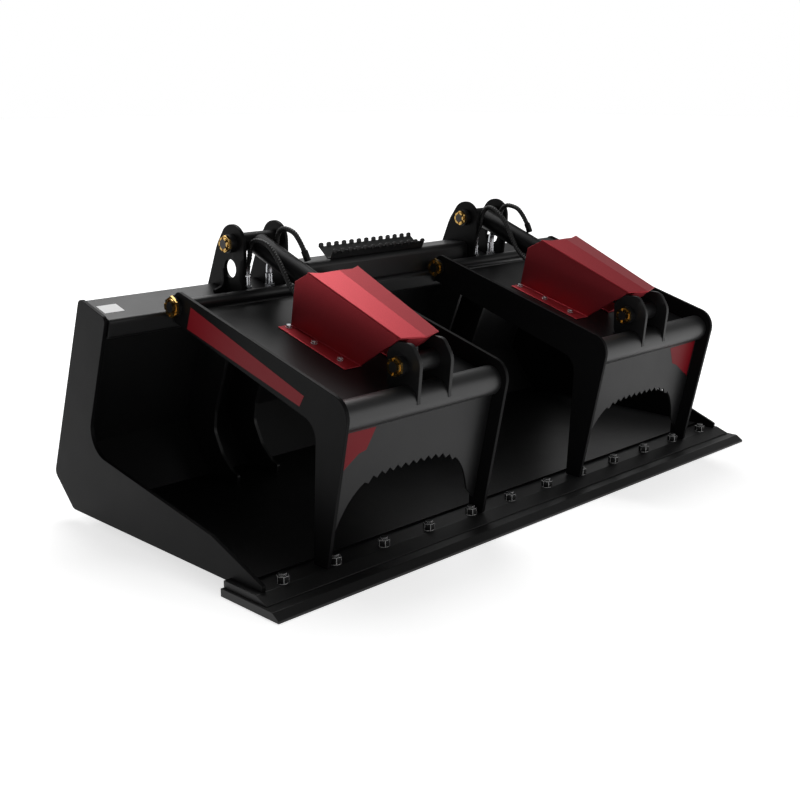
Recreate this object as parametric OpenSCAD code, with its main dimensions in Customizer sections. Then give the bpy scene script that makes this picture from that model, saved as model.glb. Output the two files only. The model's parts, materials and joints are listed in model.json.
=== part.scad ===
// Scrap grapple: a bucket with two upper jaws worked by hydraulic cylinders.
// Millimetres. X runs to the right seen from behind the bucket, the mouth faces -Y, Z is up.
// Side profiles are drawn as pairs (f, z): f is the distance ahead of the jaw hinge
// and z the height above the ground.

/* [Bucket] */
// Pitch of the bolts along the cutting edge, six inches
edge_bolt_pitch = 152.4; // [120:0.1:180]
// Number of edge bolts
edge_bolt_count = 12; // [8:1:14]
// Length of the bolt-on cutting edge beyond each end bolt
edge_end_margin = 94.3; // [70:0.1:120]
// Thickness of the bolt-on cutting edge
bolt_on_t = 19; // [12:0.5:25]
// Thickness of the welded base edge
base_edge_t = 16; // [10:0.5:25]
// Thickness of the bent floor and back sheet
shell_t = 6.35; // [5:0.05:10]
// Outer width over the two end plates
body_w = 1813.2; // [1700:0.1:1830]
// Thickness of the end plates
end_plate_t = 10; // [6:0.5:16]
// Depth of the top beam's section, front to rear
beam_w = 127; // [100:1:150]
// Height of the top beam's section
beam_h = 50.8; // [40:0.1:60]
// Wall of the top beam
beam_wall = 6.35; // [4:0.05:10]
// Radius of the top beam's corners
beam_r = 10; // [7:0.5:12]

/* [Towers] */
// Distance of each cylinder's centre plane from the middle
tower_c = 441.7; // [430:0.1:450]
// Clear gap between the two plates of a tower
tower_gap = 126.8; // [120:0.1:130]
// Thickness of the tower plates
tower_t = 10; // [8:0.5:12]
// Radius of the tower's head round the pin
tower_head_r = 48; // [42:1:52]

/* [Pins] */
// Diameter of every pin and hinge shaft, an inch and a quarter
pin_d = 31.75; // [28:0.05:34]
// Outer diameter of the bosses round the pins
boss_d = 47; // [42:0.5:50]
// Radial clearance of a pin in a bore that turns on it
run_gap = 0.08; // [0.02:0.01:0.1]
// Radial clearance of a pin in a bore that it stays still in
seat_gap = 0.04; // [0.02:0.01:0.1]

/* [Jaws] */
// Distance of each jaw's middle from the middle of the bucket
jaw_c = 461.5; // [455:0.5:468]
// Width over a jaw's two side plates
jaw_w = 529; // [515:1:540]
// Thickness of a jaw's side plates
jaw_t = 10; // [8:0.5:12]
// Thickness of the jaw's top and front sheets
skin_t = 6; // [4:0.5:8]
// Outer diameter of the cross tube at the jaw's elbow
tube_d = 73; // [68:0.5:76]
// Wall of the cross tube
tube_wall = 5; // [3:0.5:8]
// Height of the arch in the front sheet
arch_h = 190; // [150:1:210]
// Teeth along the crown of the arch
tooth_count = 12; // [6:1:12]
// Pitch of those teeth, one inch
tooth_pitch = 25.4; // [22:0.1:26]

/* [Cylinders] */
// Outer diameter of the cylinder barrels
barrel_d = 58; // [54:0.5:62]
// Inner diameter of the barrels
barrel_bore = 50.8; // [44:0.1:52]
// Diameter of the cylinder rods
rod_d = 31.75; // [25:0.05:34]
// Length from the tower pin to the barrel's front end
barrel_len = 400; // [385:1:410]
// Outer diameter of a hose
hose_d = 14; // [10:0.5:16]

/* [Hidden] */
$fa = 4;
$fs = 1.2;
eps = 0.6;
// Hinge height and the rear end of the coupler lip set where the model stands
hinge_z = 563;
floor_z = bolt_on_t + base_edge_t;
edge_half = edge_bolt_pitch * (edge_bolt_count - 1) / 2 + edge_end_margin;
base_half = edge_half - 9;
body_half = body_w / 2;
in_half = body_half - end_plate_t;
edge_front = 621.8;
edge_rear = 422;
base_front = 572;
bolt_f = 522.5;
// The sheet ends this far behind the bolts
seam_back = 47.5;
seam_f = bolt_f - seam_back;
bend = [-198, floor_z + shell_t];
heel = [-294.5, 176];
sheet_top = [-148.5, 560];
back_u = (sheet_top - heel) / norm(sheet_top - heel);
back_n = [-back_u[1], back_u[0]];
function back_pt(s, n) = heel + s * back_u + n * back_n;
// Coupler plate on the rear of the back sheet
coup_half = 571.5;
coup_t = 8;
coup_low = 10;
coup_top = 350;
coup_lip = 50;
// Under the hook the face falls away, so that a loader's plate can swing in
coup_hook = 42;
coup_relief = 2;
slot_c = 381;
slot_w = 64;
slot_d = 26;
f_rear = back_pt(coup_low, shell_t + coup_lip)[0];
y_mid = (edge_front + f_rear) / 2;
// Top beam
beam_a = 16.5;
beam_corner = [-22, 547];
beam_x = [cos(beam_a), -sin(beam_a)];
beam_y = [sin(beam_a), cos(beam_a)];
function beam_pt(a, b) = beam_corner - a * beam_x - b * beam_y;
// Pivots
tower_p = [-50.6, 693];
clevis_p = [546, 467.5];
cyl_v = clevis_p - tower_p;
cyl_len = norm(cyl_v);
cyl_a = atan2(cyl_v[1], cyl_v[0]);
pin_r = pin_d / 2;
boss_r = boss_d / 2;
tower_in = tower_c - tower_gap / 2;
tower_out = tower_c + tower_gap / 2;
boss_l = 17;
cap_l = 8;
thread_d = 25.4;
tower_nut_af = 38.1;
clevis_nut_af = 42.8;
shaft_nut_af = 47.6;
nut_base = 6;
nut_crown = 5;
crown_in = 1.5;
slot_half = 3;
slot_lift = 0.5;
nut_gap = 0.5;
nut_all = nut_base + nut_crown;
// Jaws
jaw_out = jaw_c + jaw_w / 2;
jaw_near = jaw_c - jaw_w / 2;
jaw_in_w = jaw_w - 2 * jaw_t;
hub_r = 28;
lug_r = 26;
lug_t = 15;
lug_gap = 1;
leg_top = [619.5, 429.6];
leg_tip = [540, 36.2];
leg_d = (leg_tip - leg_top) / norm(leg_tip - leg_top);
leg_len = norm(leg_tip - leg_top);
leg_a = 90 + atan2(-leg_d[0], -leg_d[1]);
leg_back = 36;
skin_u = [0.9624, -0.2716];
skin_w = [0.2716, 0.9624];
skin_top = -8.1;
hinge_p = [0, hinge_z];
function skin_pt(u, w) = hinge_p + u * skin_u + w * skin_w;
skin_rear = 25.2;
tube_p = [559, 386];
weld_gap = 0.1;
ear_t = 10;
ear_off = 46;
eye_d = 48;
ear_gap = 0.5;
rod_gap = 1.2;
// Guard over each cylinder
guard_t = 3;
guard_rear_w = 80;
guard_flange_w = 103.5;
guard_bolt_w = 80;
guard_bolt_u = [186, 284, 380];
skin_a = -atan2(skin_w[0], skin_w[1]);

function unit(v) = v / norm(v);
function turn(a) = a > 180 ? a - 360 : a < -180 ? a + 360 : a;
// Points of one rounded corner b between its neighbours a and c
function corner(a, b, c, r, n) = r <= 0 ? [b] :
    let (u = unit(a - b), w = unit(c - b))
    let (half = acos(u * w) / 2)
    let (m = b + unit(u + w) * r / sin(half))
    let (s = b + u * r / tan(half) - m, e = b + w * r / tan(half) - m)
    let (a0 = atan2(s[1], s[0]), da = turn(atan2(e[1], e[0]) - a0))
    [for (i = [0:n]) m + r * [cos(a0 + da * i / n), sin(a0 + da * i / n)]];
function rounded(p, r, n = 8) =
    [for (i = [0:len(p) - 1])
        each corner(p[(i + len(p) - 1) % len(p)], p[i], p[(i + 1) % len(p)], r[i], n)];

// A plate square to X that fills x_left to x_left + t, its outline drawn in (f, z)
module xplate(x_left, t) {
    translate([x_left + t, y_mid, 0])
    rotate([90, 0, -90])
    linear_extrude(height = t)
    children();
}
// The same, on the left (-1) or right (1) side, out to x_far from the middle
module side_plate(side, x_far, t) {
    xplate(side > 0 ? x_far - t : -x_far, t) children();
}
// A round bar along X from x0 to x1 at p = (f, z)
module xbar(x0, x1, p, r) {
    translate([min(x0, x1), y_mid - p[0], p[1]])
    rotate([0, 90, 0])
    cylinder(h = abs(x1 - x0), r = r, $fn = 72);
}
module ring(x0, x1, p, r_out, r_in) {
    difference() {
        xbar(x0, x1, p, r_out);
        xbar(min(x0, x1) - eps, max(x0, x1) + eps, p, r_in);
    }
}
module block(x0, x1, f0, f1, z0, z1) {
    translate([x0, y_mid - f1, z0])
    cube([x1 - x0, f1 - f0, z1 - z0]);
}
// Moves children to the tower pin with Z along the cylinder
module on_cylinder(side) {
    translate([side * tower_c, y_mid - tower_p[0], tower_p[1]])
    rotate([90 - cyl_a, 0, 0])
    children();
}
// Moves children to the leg's top corner: Y runs up the leg and Z out of its front
module on_leg() {
    translate([0, y_mid - leg_top[0], leg_top[1]])
    rotate([leg_a, 0, 0])
    children();
}

module beam_outline(grow = 0) {
    polygon(rounded([
        beam_pt(-grow, -grow),
        beam_pt(beam_w + grow, -grow),
        beam_pt(beam_w + grow, beam_h + grow),
        beam_pt(-grow, beam_h + grow)
    ], [beam_r, beam_r, beam_r, beam_r]));
}
module beam_solid(x0, x1) {
    xplate(x0, x1 - x0) beam_outline();
}

// Base and cutting edges

module base_edge() color("dimgray") {
    difference() {
        xplate(-base_half, 2 * base_half)
        polygon([
            [edge_rear, bolt_on_t],
            [base_front, bolt_on_t],
            [base_front, bolt_on_t + 3],
            [base_front - 37, floor_z],
            [edge_rear, floor_z]
        ]);
        edge_holes(bolt_on_t - eps, floor_z + eps);
    }
}
bolt_d = 19.05;
edge_hole_r = bolt_d / 2 + 0.5;
function edge_bolt_x(i) = (i - (edge_bolt_count - 1) / 2) * edge_bolt_pitch;
module edge_holes(z0, z1) {
    for (i = [0:edge_bolt_count - 1])
        translate([edge_bolt_x(i), y_mid - bolt_f, z0])
        cylinder(h = z1 - z0, r = edge_hole_r, $fn = 48);
}
plow_r = 17.5;
plow_h = 9;
module bolt_on_edge() color("dimgray") {
    difference() {
        xplate(-edge_half, 2 * edge_half)
        polygon([
            [edge_rear, 0],
            [edge_front, 0],
            [edge_front, 6],
            [edge_front - 20.8, bolt_on_t],
            [edge_rear, bolt_on_t]
        ]);
        edge_holes(-eps, bolt_on_t + eps);
        for (i = [0:edge_bolt_count - 1])
            translate([edge_bolt_x(i), y_mid - bolt_f, 1 - eps])
            cylinder(h = plow_h + eps, r = plow_r + 0.3, $fn = 48);
        for (i = [0:edge_bolt_count - 1])
            translate([edge_bolt_x(i), y_mid - bolt_f, -eps])
            cylinder(h = 1 + 2 * eps, r = plow_r + 0.3, $fn = 48);
    }
}
edge_nut_af = 28.6;
edge_nut_h = 16;
module edge_bolts() color("dimgray") {
    for (i = [0:edge_bolt_count - 1])
        translate([edge_bolt_x(i), y_mid - bolt_f, 1]) {
            cylinder(h = plow_h, r = plow_r, $fn = 48);
            cylinder(h = floor_z + edge_nut_h + 6, r = bolt_d / 2, $fn = 48);
            translate([0, 0, floor_z - 1])
            cylinder(h = edge_nut_h, r = edge_nut_af / sqrt(3), $fn = 6);
        }
}
strap_w = 64;
strap_gap = 44.6;
strap_out = in_half - strap_gap - strap_w / 2;
strap_in = 300;
strap_x = [-strap_out, -strap_in, strap_in, strap_out];
module wear_straps() color("dimgray") {
    for (x = strap_x)
        xplate(x - strap_w / 2, strap_w)
        polygon([[-170, 0], [edge_rear - 12, 0], [edge_rear - 2, 8], [edge_rear - 2, floor_z],
            [-192, floor_z], [-192, 22]]);
}

// Bucket sheet work

shell_up = bend + [0, -shell_t];
n_floor = [0, -1];
n_heel = unit([bend[1] - heel[1], heel[0] - bend[0]]);
n_out = back_n;
function mitre(p, a, b, t) = p + (a + b) * t / (1 + a * b);
module shell_outline() {
    polygon([
        [seam_f, floor_z + shell_t],
        bend,
        heel,
        sheet_top,
        sheet_top + n_out * shell_t,
        mitre(heel, n_heel, n_out, shell_t),
        mitre(bend, n_heel, n_floor, shell_t),
        [seam_f - 5, floor_z]
    ]);
}
module bucket_shell() color("dimgray") {
    difference() {
        xplate(-in_half, 2 * in_half) shell_outline();
        beam_solid(-body_half, body_half);
    }
}
module end_plate(side) {
    side_plate(side, body_half, end_plate_t)
    polygon(rounded([
        [-145, 588],
        [-326.5, 107.3],
        [-244.6, floor_z - 9],
        [edge_rear, floor_z - 9],
        [edge_rear, floor_z],
        [535, floor_z],
        [538, 50],
        [360, 117],
        [-153, 209],
        [-28, 553]
    ], [16, 20, 20, 0, 0, 0, 6, 60, 66, 16], 10));
}
module left_end_plate() color("dimgray") end_plate(-1);
module right_end_plate() color("dimgray") end_plate(1);
module top_beam() color("dimgray") {
    difference() {
        beam_solid(-in_half, in_half);
        xplate(-in_half - eps, 2 * in_half + 2 * eps)
        polygon(rounded([
            beam_pt(beam_wall, beam_wall),
            beam_pt(beam_w - beam_wall, beam_wall),
            beam_pt(beam_w - beam_wall, beam_h - beam_wall),
            beam_pt(beam_wall, beam_h - beam_wall)
        ], [4, 4, 4, 4], 4));
    }
}
module back_ribs() color("dimgray") {
    difference() {
        for (x = [-tower_out - tower_t, -tower_in, tower_in - tower_t, tower_out])
            xplate(x, tower_t)
            polygon(concat(rounded([
                [-46, 504],
                [-104, 358],
                [-155, 229],
                [-164, 172],
                [-133, 111],
                [-87, 72],
                [-63, 65],
                [-69, bend[1]]
            ], [0, 60, 40, 40, 40, 30, 6, 0], 5), [
                bend,
                heel,
                back_pt(395, 0)
            ]));
        beam_solid(-body_half, body_half);
    }
}
module coupler_plate() color("dimgray") {
    difference() {
        xplate(-coup_half, 2 * coup_half)
        polygon([
            back_pt(coup_low, shell_t),
            back_pt(coup_top, shell_t),
            back_pt(coup_top, shell_t + 5),
            back_pt(coup_top - 27, shell_t + 37),
            back_pt(coup_top - 33, shell_t + 32),
            back_pt(coup_top - 14, shell_t + coup_t - coup_relief),
            back_pt(coup_top - coup_hook, shell_t + coup_t),
            back_pt(coup_low + coup_t, shell_t + coup_t),
            back_pt(coup_low + coup_t, shell_t + coup_lip),
            back_pt(coup_low, shell_t + coup_lip)
        ]);
        for (x = [-slot_c, slot_c])
            xplate(x - slot_w / 2, slot_w)
            polygon([
                back_pt(coup_low - 4, shell_t + coup_t + 8),
                back_pt(coup_low + coup_t + 4, shell_t + coup_t + 8),
                back_pt(coup_low + coup_t + 4, shell_t + coup_t + 8 + slot_d),
                back_pt(coup_low - 4, shell_t + coup_t + 8 + slot_d)
            ]);
    }
}

// Rail and step

module rail_outline(inset, drop) {
    polygon(rounded([
        [-39 - inset, 540 - drop],
        [-39 - inset, 620 - inset],
        [-134 + inset, 620 - inset],
        [-134 + inset, 570 - drop]
    ], [0, 16 - inset, 16 - inset, 0], 6));
}
rail_t = 6;
module upper_rail() color("dimgray") {
    difference() {
        xplate(-tower_in + tower_t, 2 * (tower_in - tower_t)) rail_outline(0, 0);
        xplate(-tower_in, 2 * tower_in) rail_outline(rail_t, eps);
        beam_solid(-body_half, body_half);
    }
}
step_z = 620;
step_t = 3;
step_half = 181;
step_front = -40;
step_low_f = -50;
step_low_r = -66;
step_rear = -101;
step_rim_f = 641;
step_rim_r = 649;
step_tip_f = 652;
step_tip_r = 668;
step_teeth = 13;
step_pitch = 28.7;
tooth_r = 8.5;
// A row of round-topped teeth on the rim of a wall whose front face is at f
module step_row(f, rim, tip) {
    translate([0, y_mid - f + step_t, 0])
    rotate([90, 0, 0])
    linear_extrude(height = step_t)
    for (i = [0:step_teeth - 1])
        translate([(i - (step_teeth - 1) / 2) * step_pitch, 0]) {
            translate([-tooth_r, rim - 1]) square([2 * tooth_r, tip - rim - tooth_r + 1]);
            translate([0, tip - tooth_r]) circle(r = tooth_r, $fn = 32);
        }
}
module step_tread() color("dimgray") {
    xplate(-step_half, 2 * step_half)
    polygon([
        [step_front, step_rim_f],
        [step_low_f, step_z],
        [step_low_r, step_z],
        [step_rear, step_rim_r],
        [step_rear + step_t, step_rim_r],
        [step_low_r + step_t / 2, step_z + step_t],
        [step_low_f - step_t / 2, step_z + step_t],
        [step_front - step_t, step_rim_f]
    ]);
    step_row(step_front, step_rim_f, step_tip_f);
    step_row(step_rear + step_t, step_rim_r, step_tip_r);
}

// Towers

module tower_outline() {
    polygon(concat(
        [for (a = [0:10:150]) tower_p + tower_head_r * [cos(a), sin(a)]],
        rounded([[-112, 690], [-121.5, 672], [-165.5, 569.5], [-186, 514]], [0, 10, 10, 0], 4),
        [
            back_pt(360, shell_t / 2),
            back_pt(385, shell_t / 2),
            [-140, 560],
            [-40, 535],
            [-19, 545],
            [-15, 586],
            [-3, 658]
        ]
    ));
}
module tower(x_left) {
    difference() {
        xplate(x_left, tower_t) tower_outline();
        xplate(x_left - eps, tower_t + 2 * eps) shell_outline();
        beam_solid(x_left - eps, x_left + tower_t + eps);
        xbar(x_left - eps, x_left + tower_t + eps, tower_p, pin_r + seat_gap);
        xbar(x_left - eps, x_left + tower_t + eps, [-62, 627], 24);
    }
}
module left_tower_outer() color("dimgray") tower(-tower_out - tower_t);
module left_tower_inner() color("dimgray") tower(-tower_in);
module right_tower_inner() color("dimgray") tower(tower_in - tower_t);
module right_tower_outer() color("dimgray") tower(tower_out);
gusset_t = 10;
gusset_w = 36;
module tower_gussets() color("dimgray") {
    for (s = [-1, 1])
        difference() {
            translate([s * (tower_out + tower_t), y_mid + 90, 0])
            rotate([90, 0, 0])
            linear_extrude(height = gusset_t)
            polygon(rounded([
                [0, 540],
                [s * gusset_w, 540],
                [s * gusset_w, 574],
                [s * 8, 582],
                [s * 8, 626],
                [0, 626]
            ], [0, 0, 3, 18, 0, 0], 6));
            beam_solid(-body_half, body_half);
        }
}
// From a tower's middle to the outer faces of its plates
tower_reach = tower_gap / 2 + tower_t;
module tower_bosses() color("dimgray") {
    for (s = [-1, 1]) {
        ring(s * tower_c - tower_reach - boss_l, s * tower_c - tower_reach, tower_p,
            boss_r, pin_r + seat_gap);
        ring(s * tower_c + tower_reach, s * tower_c + tower_reach + cap_l, tower_p,
            boss_r, pin_r + seat_gap);
    }
}
// Each tower pin goes in from the right and is held by a castle nut on its left
module tower_pin(s) {
    shoulder = s * tower_c - tower_reach - boss_l;
    xbar(shoulder, s * tower_c + tower_reach + cap_l + 1, tower_p, pin_r);
    xbar(shoulder - nut_gap - nut_all, shoulder + eps, tower_p, thread_d / 2);
}
module left_tower_pin() color("goldenrod") tower_pin(-1);
module right_tower_pin() color("goldenrod") tower_pin(1);

// Castle nut that starts at x and grows along d (-1 or 1)
module castle_nut(x, d, p, af) {
    translate([x, y_mid - p[0], p[1]])
    rotate([0, 90 * d, 0])
    difference() {
        union() {
            cylinder(h = nut_base, r = af / sqrt(3), $fn = 6);
            translate([0, 0, nut_base]) cylinder(h = nut_crown, r = af / 2 - crown_in, $fn = 48);
        }
        translate([0, 0, -eps]) cylinder(h = nut_all + 2 * eps, r = thread_d / 2 + seat_gap, $fn = 72);
        for (a = [0, 60, 120])
            rotate([0, 0, a])
            translate([-af, -slot_half, nut_base + slot_lift])
            cube([2 * af, 2 * slot_half, nut_crown + eps]);
    }
}
module tower_nuts() color("goldenrod") {
    for (s = [-1, 1])
        castle_nut(s * tower_c - tower_reach - boss_l - nut_gap, -1, tower_p, tower_nut_af);
}

// Hinge

hub_boss_l = 9;
// A shaft turned down at both ends, from one shoulder to the other
module threaded_bar(x0, x1, p) {
    xbar(x0, x1, p, pin_r);
    xbar(min(x0, x1) - nut_gap - nut_all, max(x0, x1) + nut_gap + nut_all, p, thread_d / 2);
}
module pivot_shaft(s) {
    threaded_bar(s * (jaw_near - hub_boss_l), s * (jaw_out + hub_boss_l), hinge_p);
}
module left_pivot_shaft() color("dimgray") pivot_shaft(-1);
module right_pivot_shaft() color("dimgray") pivot_shaft(1);
function lug_x() = [jaw_near + jaw_t + lug_gap, jaw_out - jaw_t - lug_gap - lug_t];
module lug_outline() {
    polygon(concat(
        [for (a = [-60:10:120]) hinge_p + lug_r * [cos(a), sin(a)]],
        [beam_pt(13, -3), beam_pt(13, 12), beam_pt(10, 34), beam_pt(-6, 30)]
    ));
}
module pivot_lugs() color("dimgray") {
    for (s = [-1, 1], x = lug_x())
        difference() {
            xplate(s > 0 ? x : -x - lug_t, lug_t) lug_outline();
            beam_solid(-body_half, body_half);
            xbar(s * x - 2 * lug_t, s * x + 2 * lug_t, hinge_p, pin_r + seat_gap);
        }
}
module pivot_nuts() color("goldenrod") {
    for (s = [-1, 1]) {
        castle_nut(s * (jaw_out + hub_boss_l + nut_gap), s, hinge_p, shaft_nut_af);
        castle_nut(s * (jaw_near - hub_boss_l - nut_gap), -s, hinge_p, shaft_nut_af);
    }
}

// Jaws

module jaw_outline() {
    polygon(rounded([
        [-14, 568],
        [-3, 598],
        [14, 599],
        [619.5, 429.6],
        [540, 36.2],
        [493.6, 36.2],
        [510.5, 364.6],
        [-10, 522],
        [-27, 552]
    ], [6, 20, 12, 50, 4, 4, 50, 16, 16], 9));
}
module jaw_plate(side, x_far) {
    a = side > 0 ? x_far - jaw_t : -x_far;
    difference() {
        union() {
            xplate(a, jaw_t) jaw_outline();
            xbar(a, a + jaw_t, hinge_p, hub_r);
        }
        xbar(a - eps, a + jaw_t + eps, hinge_p, pin_r + run_gap);
    }
}
module left_jaw_outer_plate() color("dimgray") jaw_plate(-1, jaw_out);
module left_jaw_inner_plate() color("dimgray") jaw_plate(-1, jaw_near + jaw_t);
module right_jaw_inner_plate() color("dimgray") jaw_plate(1, jaw_near + jaw_t);
module right_jaw_outer_plate() color("dimgray") jaw_plate(1, jaw_out);
module jaw_bosses(s) {
    ring(s * jaw_out, s * (jaw_out + hub_boss_l), hinge_p, boss_r, pin_r + run_gap);
    ring(s * jaw_near, s * (jaw_near - hub_boss_l), hinge_p, boss_r, pin_r + run_gap);
}
module left_jaw_bosses() color("dimgray") jaw_bosses(-1);
module right_jaw_bosses() color("dimgray") jaw_bosses(1);

notch_d = 22;
module top_skin(s) {
    a = s > 0 ? jaw_near + jaw_t : -jaw_out + jaw_t;
    difference() {
        xplate(a, jaw_in_w)
        polygon([
            skin_pt(skin_rear, skin_top),
            skin_pt(580, skin_top),
            skin_pt(580, skin_top - skin_t),
            skin_pt(skin_rear, skin_top - skin_t)
        ]);
        xbar(a - eps, a + jaw_in_w + eps, tube_p, tube_d / 2 + weld_gap);
        for (x = lug_x())
            xplate((s > 0 ? x : -x - lug_t) - 6, lug_t + 12)
            polygon([
                skin_pt(skin_rear - 4, skin_top + eps),
                skin_pt(skin_rear + notch_d, skin_top + eps),
                skin_pt(skin_rear + notch_d, skin_top - skin_t - eps),
                skin_pt(skin_rear - 4, skin_top - skin_t - eps)
            ]);
        guard_holes(s);
    }
}
module left_top_skin() color("dimgray") top_skin(-1);
module right_top_skin() color("dimgray") top_skin(1);

tooth_h = 12;
front_low = leg_len - 30;
half_in = jaw_in_w / 2;
function arch_y(x) = arch_h * sqrt(max(0, 1 - pow(x / half_in, 2)));
function arch_s(x) = leg_len - arch_y(x);
teeth_x0 = -tooth_count * tooth_pitch / 2 + 6;
arch_x1 = half_in * sqrt(1 - pow((leg_len - front_low) / arch_h, 2));
module front_outline(s) {
    polygon(concat(
        [[-half_in, -70], [-half_in, -front_low], [-arch_x1, -front_low]],
        [for (i = [1:7]) let (x = -arch_x1 + (arch_x1 + teeth_x0) * i / 8) [x, -arch_s(x)]],
        [for (i = [0:tooth_count - 1]) let (x = teeth_x0 + i * tooth_pitch)
            each [[x, -arch_s(x)], [x + tooth_pitch * 0.5, -arch_s(x + tooth_pitch * 0.5) - tooth_h]]],
        [for (i = [0:7]) let (x = teeth_x0 + tooth_count * tooth_pitch) let
            (q = x + (arch_x1 - x) * i / 8) [q, -arch_s(q)]],
        [[arch_x1, -front_low], [half_in, -front_low], [half_in, -70]]
    ));
}
module front_skin(s) {
    difference() {
        translate([s * jaw_c, 0, 0])
        on_leg()
        translate([0, 0, -leg_back - skin_t])
        linear_extrude(height = skin_t)
        front_outline(s);
        xbar(-body_half, body_half, tube_p, tube_d / 2 + weld_gap);
    }
}
module left_front_skin() color("dimgray") front_skin(-1);
module right_front_skin() color("dimgray") front_skin(1);
module front_tube(s) {
    ring(s * (jaw_near + jaw_t), s * (jaw_out - jaw_t), tube_p, tube_d / 2, tube_d / 2 - tube_wall);
}
module left_front_tube() color("dimgray") front_tube(-1);
module right_front_tube() color("dimgray") front_tube(1);

// Clevis at the jaw's elbow

module ear_outline() {
    polygon(rounded([
        [498, 492],
        [524, 521],
        [578, 521],
        [606, 480],
        [596, 381],
        [567, 381],
        [517, 380],
        [500, 420]
    ], [20, 26, 26, 40, 4, 0, 0, 4], 9));
}
module clevis_ears(s) {
    for (x = [-ear_off - ear_t, ear_off])
        difference() {
            xplate(s * tower_c + x, ear_t) ear_outline();
            xbar(-body_half, body_half, tube_p, tube_d / 2 + weld_gap);
            xplate(s * tower_c + x - eps, ear_t + 2 * eps)
            polygon([
                skin_pt(skin_rear, skin_top),
                skin_pt(586, skin_top),
                skin_pt(586, skin_top - 80),
                skin_pt(skin_rear, skin_top - 80)
            ]);
            xbar(-body_half, body_half, clevis_p, pin_r + seat_gap);
        }
}
module left_clevis_ears() color("dimgray") clevis_ears(-1);
module right_clevis_ears() color("dimgray") clevis_ears(1);
module left_clevis_bosses() color("dimgray") {
    for (d = [-1, 1])
        ring(-tower_c + d * (ear_off + ear_t), -tower_c + d * (ear_off + ear_t + boss_l), clevis_p,
            boss_r, pin_r + seat_gap);
}
module right_clevis_bosses() color("dimgray") {
    for (d = [-1, 1])
        ring(tower_c + d * (ear_off + ear_t), tower_c + d * (ear_off + ear_t + boss_l), clevis_p,
            boss_r, pin_r + seat_gap);
}
module clevis_pin(s) {
    reach = ear_off + ear_t + boss_l;
    threaded_bar(s * tower_c - reach, s * tower_c + reach, clevis_p);
}
module left_clevis_pin() color("goldenrod") clevis_pin(-1);
module right_clevis_pin() color("goldenrod") clevis_pin(1);
module clevis_nuts(s) {
    for (d = [-1, 1])
        castle_nut(s * tower_c + d * (ear_off + ear_t + boss_l + nut_gap), d, clevis_p,
            clevis_nut_af);
}
module left_clevis_nuts() color("goldenrod") clevis_nuts(-1);
module right_clevis_nuts() color("goldenrod") clevis_nuts(1);
module rod_eye(s) {
    ring(s * tower_c - ear_off + ear_gap, s * tower_c + ear_off - ear_gap, clevis_p,
        eye_d / 2, pin_r + seat_gap);
}
module left_rod_eye() color("dimgray") rod_eye(-1);
module right_rod_eye() color("dimgray") rod_eye(1);

// Guard

guard_rear = [256, 651];
guard_front = [550, 531];
guard_front_w = 62;
guard_base_w = 63;
guard_u0 = 173;
guard_u1 = 423;
guard_mid = [201, 623];
fold_front = [571, 528.5];
fold_rear_f = 276;
kink = [51, 269];
flap_low = [536, 500];
flap_w = 40;
bolt_r = 6;
guard_wall_f = [[513, 506.5], [498, 499]];
// Plane of a side wall, through its two ridge ends and its rear foot
foot_r = skin_pt(guard_u0, skin_top);
wall_m = [guard_front - guard_rear, foot_r - guard_rear];
wall_dx = [guard_front_w - guard_rear_w, guard_base_w - guard_rear_w];
wall_det = wall_m[0][0] * wall_m[1][1] - wall_m[0][1] * wall_m[1][0];
wall_kf = (wall_dx[0] * wall_m[1][1] - wall_m[0][1] * wall_dx[1]) / wall_det;
wall_kz = (wall_m[0][0] * wall_dx[1] - wall_dx[0] * wall_m[1][0]) / wall_det;
function wall_x(p) = guard_rear_w + wall_kf * (p[0] - guard_rear[0]) + wall_kz * (p[1] - guard_rear[1]);
// Plane of a roof panel, through the ridge's two ends and the front of the middle fold
roof_m = [guard_rear - fold_front, guard_front - fold_front];
roof_kf = (roof_m[0][1] * guard_front_w - roof_m[1][1] * guard_rear_w)
    / (roof_m[0][0] * guard_front_w - roof_m[1][0] * guard_rear_w);
roof_kx = (roof_m[0][1] - roof_kf * roof_m[0][0]) / guard_rear_w;
function roof_z(x, f) = fold_front[1] + roof_kf * (f - fold_front[0]) + roof_kx * x;
// A point at x from the jaw's middle plane and p = (f, z)
function pt(x, p) = [x, y_mid - p[0], p[1]];
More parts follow.
